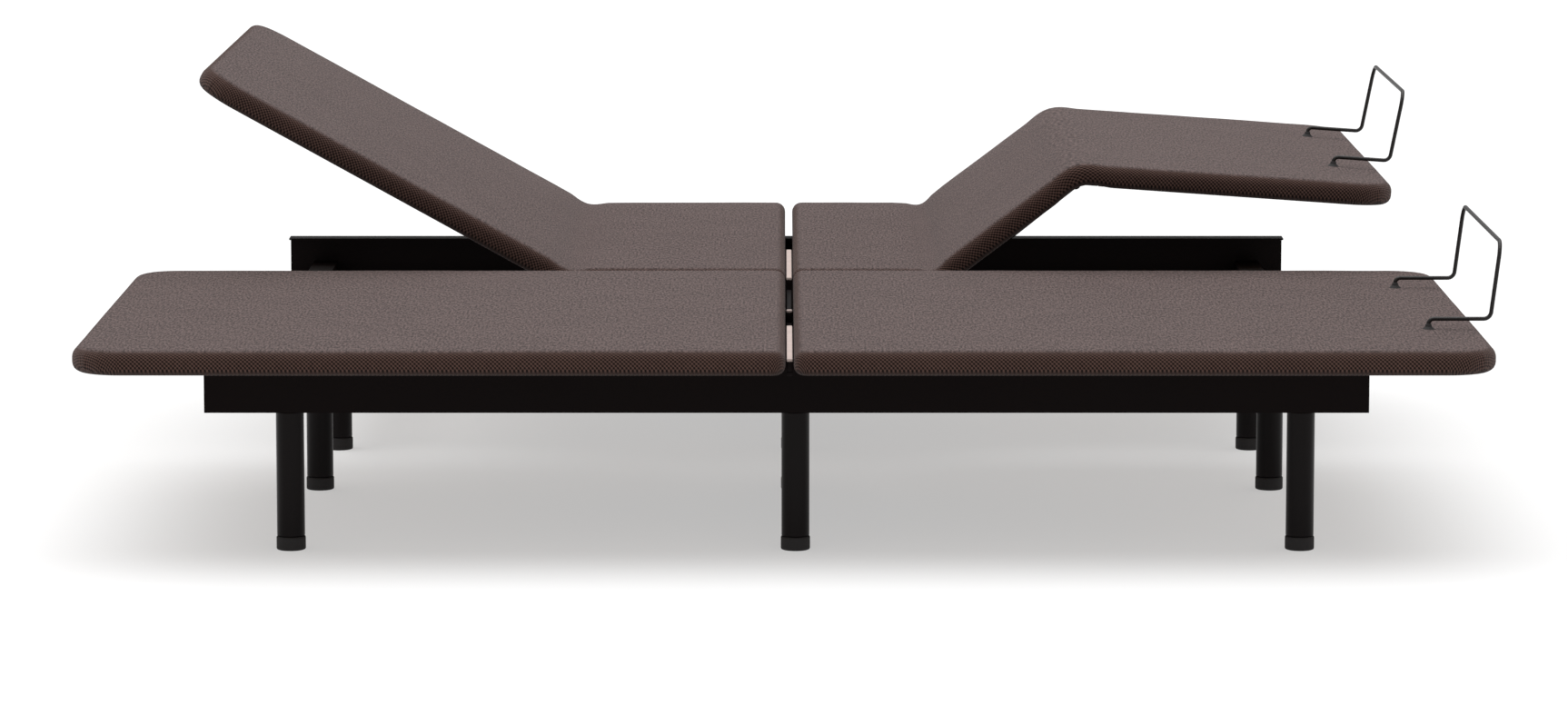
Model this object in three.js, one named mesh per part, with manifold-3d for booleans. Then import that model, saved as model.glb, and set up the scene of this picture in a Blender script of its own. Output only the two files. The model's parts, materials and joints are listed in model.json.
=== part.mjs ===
// Adjustable bed base made of two equal halves that stand side by side.
// Each half has a fixed steel frame on six legs, and an upholstered deck in five sections.
// Head is at -X, foot at +X, up is +Z, millimetres. The right half lies flat, the left half is raised.
import * as THREE from 'three'
import { mergeVertices } from 'three/addons/utils/BufferGeometryUtils.js'
import Module from 'manifold-3d'

const wasm = await Module()
wasm.setup()

// Overall sizes
const bedLength = 2032
const halfWidth = 961.2
const halvesGap = 8

// Deck sections, along the bed
const backLength = 666
const thighLength = 275
const calfLength = 491
const middleGap = 12
const middleGapCentre = 8

// Upholstered pads and the boards let into their undersides
const padThickness = 36
const padOverRail = 2.3
const endCornerRadius = 75
const gapCornerRadius = 20
const boardThickness = 12
const boardInset = 25
const pocketClearance = 0.3

// Hinges between the sections
const hingeDrop = 9
const lugRadius = 9
const lugLength = 60
const lugThickness = 5
const lugOffset = 220
const lugGap = 0.5
const pinRadius = 4
const pinClearance = 0.4
const notchSpare = 0.5
const kneeNotch = 0.5

// How far each section can rise, and how far the left half is raised at rest, in degrees
const backLimit = 60
const thighLimit = 45
const leftBackAngle = 29
const leftThighAngle = 37
const calfPerThigh = 41 / 37

// Fixed frame
const legHeight = 202.6
const legRadius = 20.3
const footRadius = 21.3
const footHeight = 20
const legRowOffset = 279
const legEndInset = 299
const legFootInset = 266
const legMiddle = 16.6
const railHeight = 75.8
const railDepth = 38
const railWall = 3
const railFace = 298.5
const railHeadInset = 176.5
const railFootInset = 169
const seatGap = 0.3
const crossWidth = 40
const crossHeight = 51
const crossEndHeight = 30
const crossEndInset = 40
const ribHeight = 12
const ribWidth = 30
const ribOffset = 100
const calfRibOffset = 160
const ribEndInset = 12
const seatBarWidth = 25
const seatBarHeight = 24
const seatBarInset = 28

// Lifters: a torsion tube across the frame, two arms with rollers, and a crank
const lifterDrop = 30
const lifterSetback = 20
const torsionRadius = 16
const torsionEndGap = 0.6
const headArmLength = 300
const footArmLength = 190
const armHeight = 14
const armThickness = 6
const rollerRadius = 12
const rollerWidth = 24
const rollerGap = 0.6
const crankRadius = 45
const crankWidth = 24
const crankThickness = 6
const crankOffset = 12

// Linear drives
const driveLength = 90
const driveWidth = 62
const driveHeight = 70
const motorRadius = 29
const motorLength = 88
const sleeveRadius = 17
const sleeveReach = 38
const rodRadius = 10
const rodClearance = 0.6
const rodOverlap = 85
const eyeRadius = 12
const eyeWidth = 14

// Link that keeps the calf section near level; its lower eyes turn on the foot lifter's torsion tube
const linkEyeDrop = 30
const linkArmOffset = 66
const linkArmThickness = 8
const linkArmHeight = 12
const linkEyeRadius = 9
const linkCollarWall = 6
const linkCollarClearance = 0.5
const linkTieRadius = 6
const linkCheekGap = 3
const linkCheekThickness = 4
const linkCheekLength = 36
const linkCheekBelow = 8

// Mattress retainer bar
const barRadius = 3
const barHalfSpan = 242.5
const barSocketInset = 79
const barRise = 16
const barReach = 90
const barHeight = 128
const barLean = 14
const barFootBend = 8
const barLowBend = 11
const barTopBend = 24
const barHoleClearance = 0.5

// Control box under the head seat
const boxLength = 150
const boxWidth = 120
const boxHeight = 46
const boxHeadOffset = 90
const boxSideOffset = 110
const inletWidth = 28
const inletHeight = 20
const inletDepth = 12

// Places worked out from the sizes above
const radians = Math.PI / 180
const headEnd = -bedLength / 2
const footEnd = bedLength / 2
const backHinge = headEnd + backLength
const kneeHinge = footEnd - calfLength
const thighHinge = kneeHinge - thighLength
const headSeatEnd = middleGapCentre - middleGap / 2
const footSeatStart = middleGapCentre + middleGap / 2
const railBottom = legHeight + seatGap
const railTop = railBottom + railHeight
const padBottom = railTop + padOverRail
const padTop = padBottom + padThickness
const hingeLevel = padBottom - hingeDrop
const crossBottom = railBottom + railWall + seatGap
const crossHalfSpan = railFace - railWall - seatGap
const ribBottom = padBottom - ribHeight
const lifterLevel = hingeLevel - lifterDrop
const headLifterX = backHinge - lifterSetback
const footLifterX = thighHinge + lifterSetback
const rollerDrop = hingeLevel - ribBottom + rollerRadius + rollerGap

// Slivers shorter than this, left where round shapes are joined, are merged.
const smallestEdge = 0.02

const finishes = {
  fabric: { color: 0x6e6260, roughness: 0.95, metalness: 0 },
  board: { color: 0x9a7b57, roughness: 0.85, metalness: 0 },
  frame: { color: 0x14100f, roughness: 0.45, metalness: 0.2 },
  leg: { color: 0x120c0b, roughness: 0.35, metalness: 0.2 },
  housing: { color: 0x1b1b1d, roughness: 0.6, metalness: 0 },
  rod: { color: 0xa7a9ab, roughness: 0.3, metalness: 0.9 },
  bar: { color: 0x17120f, roughness: 0.35, metalness: 0.4 }
}

// Turns a closed geometry into a solid that can be joined and cut.
function solid (geometry) {
  geometry.deleteAttribute('normal')
  geometry.deleteAttribute('uv')
  const merged = mergeVertices(geometry, 1e-4)
  return new wasm.Manifold(new wasm.Mesh({
    numProp: 3,
    vertProperties: new Float32Array(merged.attributes.position.array),
    triVerts: new Uint32Array(merged.index.array)
  }))
}

function join (...solids) {
  return solids.reduce((whole, next) => whole.add(next))
}

function block (x, y, z) {
  const geometry = new THREE.BoxGeometry(x[1] - x[0], y[1] - y[0], z[1] - z[0])
  geometry.translate((x[0] + x[1]) / 2, (y[0] + y[1]) / 2, (z[0] + z[1]) / 2)
  return solid(geometry)
}

// A round bar along Y.
function roundY (x, z, radius, y, sides = 20) {
  const geometry = new THREE.CylinderGeometry(radius, radius, y[1] - y[0], sides)
  geometry.translate(x, (y[0] + y[1]) / 2, z)
  return solid(geometry)
}

// A round bar along X.
function roundX (x, y, z, radius, sides = 20) {
  const geometry = new THREE.CylinderGeometry(radius, radius, x[1] - x[0], sides)
  geometry.rotateZ(Math.PI / 2)
  geometry.translate((x[0] + x[1]) / 2, y, z)
  return solid(geometry)
}

// A round bar along Z.
function roundZ (x, y, radius, z, sides = 16) {
  const geometry = new THREE.CylinderGeometry(radius, radius, z[1] - z[0], sides)
  geometry.rotateX(Math.PI / 2)
  geometry.translate(x, y, (z[0] + z[1]) / 2)
  return solid(geometry)
}

// An outline of [x, z] points, extruded across Y.
function profileY (points, y) {
  const shape = new THREE.Shape(points.map(([x, z]) => new THREE.Vector2(x, z)))
  const geometry = new THREE.ExtrudeGeometry(shape, { depth: y[1] - y[0], bevelEnabled: false })
  geometry.rotateX(Math.PI / 2)
  geometry.translate(0, y[1], 0)
  return solid(geometry)
}

// An outline of [y, z] points, extruded along X.
function profileX (points, x) {
  const shape = new THREE.Shape(points.map(([y, z]) => new THREE.Vector2(y, z)))
  const geometry = new THREE.ExtrudeGeometry(shape, { depth: x[1] - x[0], bevelEnabled: false })
  const alongX = new THREE.Matrix4().makeBasis(
    new THREE.Vector3(0, 1, 0), new THREE.Vector3(0, 0, 1), new THREE.Vector3(1, 0, 0))
  geometry.applyMatrix4(alongX)
  geometry.translate(x[0], 0, 0)
  return solid(geometry)
}

// A flat slab whose corners at the head side and at the foot side have their own radii.
function slab (x, halfSpan, z, headCorner, footCorner) {
  const [x0, x1] = x
  const shape = new THREE.Shape()
  const corner = (cx, cy, radius, start) => {
    if (radius > 0) shape.absarc(cx, cy, radius, start, start + Math.PI / 2, false)
    else shape.lineTo(cx, cy)
  }
  shape.moveTo(x0 + headCorner, -halfSpan)
  corner(x1 - footCorner, -halfSpan + footCorner, footCorner, -Math.PI / 2)
  corner(x1 - footCorner, halfSpan - footCorner, footCorner, 0)
  corner(x0 + headCorner, halfSpan - headCorner, headCorner, Math.PI / 2)
  corner(x0 + headCorner, -halfSpan + headCorner, headCorner, Math.PI)
  const geometry = new THREE.ExtrudeGeometry(shape,
    { depth: z[1] - z[0], bevelEnabled: false, curveSegments: 4 })
  geometry.translate(0, 0, z[0])
  return solid(geometry)
}

function sortedPair (a, b) {
  return a < b ? [a, b] : [b, a]
}

// One pad section. The notches are the angles that its two end faces lean back from the vertical
// through the hinge axis below them, so that two sections can fold towards each other.
function pad (x, headCorner, footCorner, headNotch, footNotch) {
  const lean = (notch, level) => {
    return notch > 0 ? (level - hingeLevel) * Math.tan(notch * radians) + notchSpare : 0
  }
  const side = profileY([
    [x[0] + lean(headNotch, padBottom), padBottom],
    [x[1] - lean(footNotch, padBottom), padBottom],
    [x[1] - lean(footNotch, padTop), padTop],
    [x[0] + lean(headNotch, padTop), padTop]
  ], [-halfWidth, halfWidth])
  const plan = slab(x, halfWidth / 2, [padBottom - 1, padTop + 1], headCorner, footCorner)
  const pocket = slab(
    [x[0] + boardInset - pocketClearance, x[1] - boardInset + pocketClearance],
    halfWidth / 2 - boardInset + pocketClearance,
    [padBottom - 1, padBottom + boardThickness + pocketClearance],
    Math.max(headCorner - boardInset + pocketClearance, 0),
    Math.max(footCorner - boardInset + pocketClearance, 0))
  return side.intersect(plan).subtract(pocket)
}

function board (x, headCorner, footCorner) {
  return slab([x[0] + boardInset, x[1] - boardInset], halfWidth / 2 - boardInset,
    [padBottom, padBottom + boardThickness],
    Math.max(headCorner - boardInset, 0), Math.max(footCorner - boardInset, 0))
}

// A pair of hinge lugs under a board. A fixed pair carries the pins, a moving pair is bored for them.
function lugs (hingeX, direction, fixed) {
  const inner = fixed ? lugOffset + lugThickness + lugGap : lugOffset
  const pair = [-1, 1].map(side => {
    const across = sortedPair(side * inner, side * (inner + lugThickness))
    const tip = hingeX + direction * lugLength
    const plate = join(
      roundY(hingeX, hingeLevel, lugRadius - seatGap, across),
      block(sortedPair(hingeX, tip), across, [hingeLevel - lugRadius, padBottom - seatGap]),
      block(sortedPair(hingeX + direction * (boardInset + 1), tip), across, [hingeLevel, padBottom + 1]))
    if (fixed) {
      return plate.add(roundY(hingeX, hingeLevel, pinRadius,
        sortedPair(side * (lugOffset - 2), side * (inner + 1))))
    }
    return plate.subtract(roundY(hingeX, hingeLevel, pinRadius + pinClearance,
      sortedPair(side * (inner - 1), side * (inner + lugThickness + 1))))
  })
  return join(...pair)
}

// Two steel ribs under a moving section's board; the lifter's rollers run along them.
function ribs (x, offset) {
  const fixed = boardInset - ribEndInset + 1
  const pair = [-1, 1].map(side => {
    const across = sortedPair(side * (offset - ribWidth / 2), side * (offset + ribWidth / 2))
    return join(
      block(x, across, [ribBottom, padBottom - seatGap]),
      block([x[0] + fixed, x[1] - fixed], across, [hingeLevel, padBottom + 1]))
  })
  return join(...pair)
}

// A bar across a fixed section, seated in the two rails.
function seatBar (x) {
  const underFlange = railTop - railWall - seatGap
  return join(
    block([x, x + seatBarWidth], [-crossHalfSpan, crossHalfSpan], [padBottom - seatBarHeight, underFlange]),
    block([x, x + seatBarWidth],
      [-railFace + railDepth + seatGap, railFace - railDepth - seatGap], [underFlange - 1, padBottom + 1]))
}

function backDeck () {
  return join(
    board([headEnd, backHinge], endCornerRadius, 0),
    ribs([headEnd + boardInset, backHinge - ribEndInset], ribOffset),
    lugs(backHinge, -1, false))
}

function headSeatDeck () {
  return join(
    board([backHinge, headSeatEnd], 0, 0),
    seatBar(backHinge + seatBarInset),
    seatBar(headSeatEnd - seatBarInset - seatBarWidth),
    lugs(backHinge, 1, true))
}

function footSeatDeck () {
  return join(
    board([footSeatStart, thighHinge], 0, 0),
    seatBar(footSeatStart + seatBarInset),
    seatBar(thighHinge - seatBarInset - seatBarWidth),
    lugs(thighHinge, -1, true))
}

function thighDeck () {
  return join(
    board([thighHinge, kneeHinge], 0, 0),
    ribs([thighHinge + ribEndInset, kneeHinge - ribEndInset], ribOffset),
    lugs(thighHinge, 1, false),
    lugs(kneeHinge, -1, true))
}

// A cheek beside each upper eye of the link; the eyes stay loose, with no pin through them.
function calfDeck () {
  const inside = linkArmOffset + linkArmThickness / 2 + linkCheekGap
  const eyeX = kneeHinge + linkReach()
  const eyeLevel = hingeLevel - linkEyeDrop
  const end = eyeX + linkCheekLength
  const cheeks = [-1, 1].map(side => {
    const across = sortedPair(side * inside, side * (inside + linkCheekThickness))
    return join(
      roundY(eyeX, eyeLevel, linkCheekBelow, across),
      block([eyeX - linkCheekBelow, end], across, [eyeLevel, padBottom - seatGap]),
      block([kneeHinge + boardInset + 1, end], across, [hingeLevel, padBottom + 1]))
  })
  return join(
    board([kneeHinge, footEnd], 0, endCornerRadius),
    ribs([kneeHinge + ribEndInset, footEnd - boardInset], calfRibOffset),
    lugs(kneeHinge, 1, false),
    ...cheeks)
}

// A leg with a rubber foot at its lower end, turned about its own axis.
function leg () {
  const edge = 2
  const profile = [
    [0, 0], [footRadius - edge, 0], [footRadius, edge], [footRadius, footHeight - 1],
    [legRadius, footHeight], [legRadius, legHeight], [0, legHeight]
  ].map(([radius, level]) => new THREE.Vector2(radius, level))
  const geometry = new THREE.LatheGeometry(profile, 16)
  geometry.rotateX(Math.PI / 2)
  return solid(geometry)
}

// A channel with its web outside and its flanges towards the middle of the half.
function rail (side) {
  const outer = side * railFace
  const web = side * (railFace - railWall)
  const lip = side * (railFace - railDepth)
  const outline = [
    [outer, railBottom], [lip, railBottom], [lip, railBottom + railWall], [web, railBottom + railWall],
    [web, railTop - railWall], [lip, railTop - railWall], [lip, railTop], [outer, railTop]
  ]
  if (side > 0) outline.reverse()
  return profileX(outline, [headEnd + railHeadInset, footEnd - railFootInset])
}

function crossMember (x, height) {
  return block([x, x + crossWidth], [-crossHalfSpan, crossHalfSpan], [crossBottom, crossBottom + height])
}

// Angle of a lifter arm whose roller touches a section raised by the given angle.
function armAngle (raised, armLength) {
  const turn = raised * radians
  const gap = lifterSetback * Math.sin(turn) + lifterDrop * Math.cos(turn) - rollerDrop
  return raised + Math.asin(gap / armLength) / radians
}

function armTurn (limit, armLength) {
  return armAngle(limit, armLength) - armAngle(0, armLength)
}

const headArmTurn = armTurn(backLimit, headArmLength)
const footArmTurn = armTurn(thighLimit, footArmLength)
const headRodTravel = 2 * crankRadius * Math.sin(headArmTurn / 2 * radians)
const footRodTravel = 2 * crankRadius * Math.sin(footArmTurn / 2 * radians)

// The crank swings equally to both sides of straight down, so its eye stays near one level.
function rodLevel (turn) {
  return lifterLevel - crankRadius * (1 + Math.cos(turn / 2 * radians)) / 2
}

// A flat bar in the XZ plane with round ends, from a point in a direction given as an angle from +X.
function flatBar (from, angle, length, height, y) {
  const end = [from[0] + length * Math.cos(angle * radians), from[1] + length * Math.sin(angle * radians)]
  const across = [-Math.sin(angle * radians) * height / 2, Math.cos(angle * radians) * height / 2]
  const middle = profileY([
    [from[0] - across[0], from[1] - across[1]], [end[0] - across[0], end[1] - across[1]],
    [end[0] + across[0], end[1] + across[1]], [from[0] + across[0], from[1] + across[1]]
  ], y)
  return join(middle, roundY(end[0], end[1], height / 2, y))
}

// Direction is -1 for the head lifter, whose arms reach towards the head, and +1 for the foot lifter.
function lifter (x, direction, armLength, turn) {
  const axis = [x, lifterLevel]
  const rise = armAngle(0, armLength)
  const armDirection = direction > 0 ? rise : 180 - rise
  const crankDirection = -90 - direction * turn / 2
  const rollerX = x + direction * armLength * Math.cos(rise * radians)
  const rollerZ = lifterLevel + armLength * Math.sin(rise * radians)
  const halfSpan = railFace - railWall - torsionEndGap
  const parts = [roundY(x, lifterLevel, torsionRadius, [-halfSpan, halfSpan], 24)]
  const rollerStart = ribOffset - rollerWidth / 2
  for (const side of [-1, 1]) {
    const arm = sortedPair(side * (rollerStart - armThickness), side * rollerStart)
    const roller = sortedPair(side * (rollerStart - 1), side * (rollerStart + rollerWidth))
    const crank = sortedPair(side * crankOffset, side * (crankOffset + crankThickness))
    parts.push(flatBar(axis, armDirection, armLength, armHeight, arm))
    parts.push(roundY(rollerX, rollerZ, rollerRadius, roller, 24))
    parts.push(flatBar(axis, crankDirection, crankRadius, crankWidth, crank))
  }
  return join(...parts)
}

// Fixed part of a drive: gear housing, motor barrel to one side, and a sleeve for the rod.
function drive (start, direction, rodEnd, level) {
  const away = distance => start + direction * distance
  const sleeveEnd = rodEnd - direction * sleeveReach
  const middle = away(driveLength / 2)
  const motorSpan = [driveWidth / 2 - 1, driveWidth / 2 + motorLength]
  const housing = block(sortedPair(start, away(driveLength)), [-driveWidth / 2, driveWidth / 2],
    [level - driveHeight / 2, level + driveHeight / 2])
  const motor = roundY(middle, level, motorRadius, motorSpan, 16)
  const sleeve = roundX(sortedPair(away(driveLength - 1), sleeveEnd), 0, level, sleeveRadius, 16)
  const bore = roundX(sortedPair(middle, sleeveEnd + direction), 0, level, rodRadius + rodClearance, 16)
  return join(housing, motor, sleeve).subtract(bore)
}

function rod (direction, rodEnd, level) {
  const start = rodEnd - direction * (sleeveReach + rodOverlap)
  return join(
    roundX(sortedPair(start, rodEnd), 0, level, rodRadius, 16),
    roundY(rodEnd, level, eyeRadius, [-eyeWidth / 2, eyeWidth / 2], 16))
}

// The calf link and the thigh section form a four-bar linkage. How far beyond the knee the link's
// upper eye sits follows from the link being equally long with the section flat and raised.
function linkReach () {
  const thigh = leftThighAngle * radians
  const fall = (calfPerThigh - 1) * thigh
  const raisedX = thighHinge + thighLength * Math.cos(thigh) - linkEyeDrop * Math.sin(fall) - footLifterX
  const raisedZ = hingeLevel + thighLength * Math.sin(thigh) - linkEyeDrop * Math.cos(fall) - lifterLevel
  const flatX = kneeHinge - footLifterX
  const flatZ = hingeLevel - linkEyeDrop - lifterLevel
  const change = raisedX ** 2 + raisedZ ** 2 - flatX ** 2 - flatZ ** 2
  return change / 2 / (flatX - raisedX * Math.cos(fall) + raisedZ * Math.sin(fall))
}

// Upper eye of the calf link, for a given thigh angle.
function linkEye (thighAngle) {
  const thigh = thighAngle * radians
  const fall = (calfPerThigh - 1) * thigh
  const kneeX = thighHinge + thighLength * Math.cos(thigh)
  const kneeZ = hingeLevel + thighLength * Math.sin(thigh)
  return [
    kneeX + linkReach() * Math.cos(fall) - linkEyeDrop * Math.sin(fall),
    kneeZ - linkReach() * Math.sin(fall) - linkEyeDrop * Math.cos(fall)
  ]
}

function linkAngle (thighAngle) {
  const [eyeX, eyeZ] = linkEye(thighAngle)
  return Math.atan2(eyeZ - lifterLevel, eyeX - footLifterX) / radians
}

const linkTurn = linkAngle(leftThighAngle) - linkAngle(0)

// Two arms with collars round the torsion tube, tied together at their upper eyes.
function calfLink () {
  const pivot = [footLifterX, lifterLevel]
  const [eyeX, eyeZ] = linkEye(0)
  const length = Math.hypot(eyeX - pivot[0], eyeZ - pivot[1])
  const parts = [roundY(eyeX, eyeZ, linkTieRadius, [-linkArmOffset, linkArmOffset])]
  const bores = []
  const inside = linkArmOffset - linkArmThickness / 2
  for (const side of [-1, 1]) {
    const y = sortedPair(side * inside, side * (inside + linkArmThickness))
    parts.push(flatBar(pivot, linkAngle(0), length, linkArmHeight, y))
    parts.push(roundY(eyeX, eyeZ, linkEyeRadius, y))
    parts.push(roundY(...pivot, torsionRadius + linkCollarClearance + linkCollarWall, y, 24))
    bores.push(roundY(...pivot, torsionRadius + linkCollarClearance, [y[0] - 1, y[1] + 1], 24))
  }
  return join(...parts).subtract(join(...bores))
}

// A path of straight runs and rounded corners; every run and corner gets the same number of steps.
class BentPath extends THREE.Curve {
  constructor (points, bends) {
    super()
    this.runs = []
    let from = points[0]
    for (let i = 1; i < points.length - 1; i++) {
      const corner = points[i]
      const before = corner.clone().sub(points[i - 1]).normalize().multiplyScalar(bends[i - 1])
      const after = points[i + 1].clone().sub(corner).normalize().multiplyScalar(bends[i - 1])
      const bendStart = corner.clone().sub(before)
      const bendEnd = corner.clone().add(after)
      this.runs.push(new THREE.LineCurve3(from, bendStart))
      this.runs.push(new THREE.QuadraticBezierCurve3(bendStart, corner, bendEnd))
      from = bendEnd
    }
    this.runs.push(new THREE.LineCurve3(from, points[points.length - 1]))
  }

  getPoint (t) {
    const place = Math.min(t * this.runs.length, this.runs.length - 1e-9)
    const index = Math.floor(place)
    return this.runs[index].getPoint(place - index)
  }

  getPointAt (u) {
    return this.getPoint(u)
  }

  getTangentAt (u) {
    return this.getTangent(u)
  }
}

const barSocketX = footEnd - barSocketInset
const barTopX = barSocketX + barReach + barLean

// A bent round bar: two short feet in the pad, a step outwards, two posts and the top bar.
function retainerBar () {
  const foot = padBottom + boardThickness + 2 * pocketClearance
  const step = padTop + barRise
  const half = side => [
    new THREE.Vector3(barSocketX, side * barHalfSpan, foot),
    new THREE.Vector3(barSocketX, side * barHalfSpan, step),
    new THREE.Vector3(barSocketX + barReach, side * barHalfSpan, step),
    new THREE.Vector3(barTopX, side * barHalfSpan, padTop + barHeight)
  ]
  const points = [...half(-1), ...half(1).reverse()]
  const bends = [barFootBend, barLowBend, barTopBend]
  const path = new BentPath(points, [...bends, ...bends.slice().reverse()])
  const section = new THREE.Shape()
  section.absarc(0, 0, barRadius, 0, 2 * Math.PI, false)
  return solid(new THREE.ExtrudeGeometry(section, {
    steps: 3 * path.runs.length, extrudePath: path, bevelEnabled: false, curveSegments: 4
  }))
}

function calfPad () {
  const holes = [-1, 1].map(side => roundZ(barSocketX, side * barHalfSpan,
    barRadius + barHoleClearance, [padBottom, padTop + 1]))
  return pad([kneeHinge, footEnd], 0, endCornerRadius, kneeNotch, 0).subtract(join(...holes))
}

// A closed box with a socket for the mains lead in its head-side wall.
function controlBox () {
  const x = headSeatEnd - boxHeadOffset
  const middle = boxSideOffset + boxWidth / 2
  const top = padBottom - seatGap
  const inletLevel = top - boxHeight / 2
  return block([x - boxLength, x], [boxSideOffset, boxSideOffset + boxWidth], [top - boxHeight, top])
    .subtract(block([x - boxLength - 1, x - boxLength + inletDepth],
      [middle - inletWidth / 2, middle + inletWidth / 2],
      [inletLevel - inletHeight / 2, inletLevel + inletHeight / 2]))
}

function addPiece (group, name, finish, shape) {
  const { vertProperties, triVerts, numProp } = shape.simplify(smallestEdge).getMesh()
  const positions = new Float32Array(vertProperties.length / numProp * 3)
  for (let i = 0; i < positions.length / 3; i++) {
    positions.set(vertProperties.subarray(i * numProp, i * numProp + 3), 3 * i)
  }
  const geometry = new THREE.BufferGeometry()
  geometry.setAttribute('position', new THREE.BufferAttribute(positions, 3))
  geometry.setIndex(new THREE.BufferAttribute(new Uint32Array(triVerts), 1))
  geometry.computeVertexNormals()
  const mesh = new THREE.Mesh(geometry, new THREE.MeshStandardMaterial(finishes[finish]))
  mesh.name = name
  group.add(mesh)
  return mesh
}

// A group whose children keep flat-bed coordinates and are turned together about a hinge across the bed.
function turned (parent, hinge, angle) {
  const outer = new THREE.Group()
  outer.position.set(hinge[0], 0, hinge[1])
  outer.rotation.y = angle * radians
  const inner = new THREE.Group()
  inner.position.set(-hinge[0], 0, -hinge[1])
  outer.add(inner)
  parent.add(outer)
  return inner
}

function slid (parent, distance) {
  const group = new THREE.Group()
  group.position.x = distance
  parent.add(group)
  return group
}

function addFixedFrame (half, name) {
  const outward = half.side
  const headCrossStart = headEnd + railHeadInset + crossEndInset
  const footCrossStart = footEnd - railFootInset - crossEndInset - crossWidth
  const middleCross = crossMember(middleGapCentre - crossWidth / 2, crossHeight)
  addPiece(half.group, name('outer_rail'), 'frame', rail(outward))
  addPiece(half.group, name('inner_rail'), 'frame', rail(-outward))
  addPiece(half.group, name('head_cross'), 'frame', crossMember(headCrossStart, crossEndHeight))
  addPiece(half.group, name('centre_cross'), 'frame', middleCross)
  addPiece(half.group, name('foot_cross'), 'frame', crossMember(footCrossStart, crossEndHeight))
  const rows = { outer: outward, inner: -outward }
  const places = { head: headEnd + legEndInset, middle: legMiddle, foot: footEnd - legFootInset }
  for (const [place, x] of Object.entries(places)) {
    for (const [row, side] of Object.entries(rows)) {
      const piece = addPiece(half.group, name(`${row}_${place}_leg`), 'leg', leg())
      piece.position.set(x, side * legRowOffset, 0)
    }
  }
}

function addDeck (half, name) {
  const { group, backAngle, thighAngle } = half
  const backNotch = backLimit / 2 + 0.5
  const thighNotch = thighLimit / 2 + 0.5
  addPiece(group, name('head_seat_deck'), 'board', headSeatDeck())
  addPiece(group, name('head_seat_pad'), 'fabric',
    pad([backHinge, headSeatEnd], 0, gapCornerRadius, backNotch, 0))
  addPiece(group, name('foot_seat_deck'), 'board', footSeatDeck())
  addPiece(group, name('foot_seat_pad'), 'fabric',
    pad([footSeatStart, thighHinge], gapCornerRadius, 0, 0, thighNotch))

  const back = turned(group, [backHinge, hingeLevel], backAngle)
  addPiece(back, name('back_deck'), 'board', backDeck())
  addPiece(back, name('back_pad'), 'fabric', pad([headEnd, backHinge], endCornerRadius, 0, 0, backNotch))

  const thigh = turned(group, [thighHinge, hingeLevel], -thighAngle)
  addPiece(thigh, name('thigh_deck'), 'board', thighDeck())
  addPiece(thigh, name('thigh_pad'), 'fabric', pad([thighHinge, kneeHinge], 0, 0, thighNotch, kneeNotch))

  const calf = turned(thigh, [kneeHinge, hingeLevel], calfPerThigh * thighAngle)
  addPiece(calf, name('calf_deck'), 'board', calfDeck())
  addPiece(calf, name('calf_pad'), 'fabric', calfPad())
  addPiece(calf, name('retainer_bar'), 'bar', retainerBar())
}

function addMechanism (half, name) {
  const { group, backAngle, thighAngle } = half
  const headEye = headLifterX + crankRadius * Math.sin(headArmTurn / 2 * radians)
  const footEye = footLifterX - crankRadius * Math.sin(footArmTurn / 2 * radians)
  const headLevel = rodLevel(headArmTurn)
  const footLevel = rodLevel(footArmTurn)
  const headStart = middleGapCentre - crossWidth / 2 - seatGap
  const footStart = middleGapCentre + crossWidth / 2 + seatGap
  const backShare = backAngle / backLimit
  const thighShare = thighAngle / thighLimit

  addPiece(group, name('head_drive'), 'housing', drive(headStart, -1, headEye, headLevel))
  addPiece(group, name('foot_drive'), 'housing', drive(footStart, 1, footEye, footLevel))
  addPiece(group, name('control_box'), 'housing', controlBox())

  const headLifter = turned(group, [headLifterX, lifterLevel], headArmTurn * backShare)
  addPiece(headLifter, name('head_lifter'), 'frame', lifter(headLifterX, -1, headArmLength, headArmTurn))
  const footLifter = turned(group, [footLifterX, lifterLevel], -footArmTurn * thighShare)
  addPiece(footLifter, name('foot_lifter'), 'frame', lifter(footLifterX, 1, footArmLength, footArmTurn))

  addPiece(slid(group, -headRodTravel * backShare), name('head_rod'), 'rod', rod(-1, headEye, headLevel))
  addPiece(slid(group, footRodTravel * thighShare), name('foot_rod'), 'rod', rod(1, footEye, footLevel))

  const link = turned(group, [footLifterX, lifterLevel], -linkTurn * thighAngle / leftThighAngle)
  addPiece(link, name('calf_link'), 'frame', calfLink())
}

const bed = new THREE.Group()
bed.name = 'adjustable_bed_base'
const halves = [
  { label: 'right', side: -1, backAngle: 0, thighAngle: 0 },
  { label: 'left', side: 1, backAngle: leftBackAngle, thighAngle: leftThighAngle }
]
for (const half of halves) {
  half.group = new THREE.Group()
  half.group.position.y = half.side * (halvesGap + halfWidth) / 2
  const name = piece => `${half.label}_${piece}`
  addFixedFrame(half, name)
  addDeck(half, name)
  addMechanism(half, name)
  bed.add(half.group)
}

// The origin is the centre of the footprint, on the floor; the retainer bars reach past the foot end.
bed.position.x = -(barTopX + barRadius - footEnd) / 2

const group = new THREE.Group()
group.add(bed)
export default group
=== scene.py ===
import json
import math

import bmesh
import bpy
from mathutils import Matrix, Vector, noise


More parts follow.
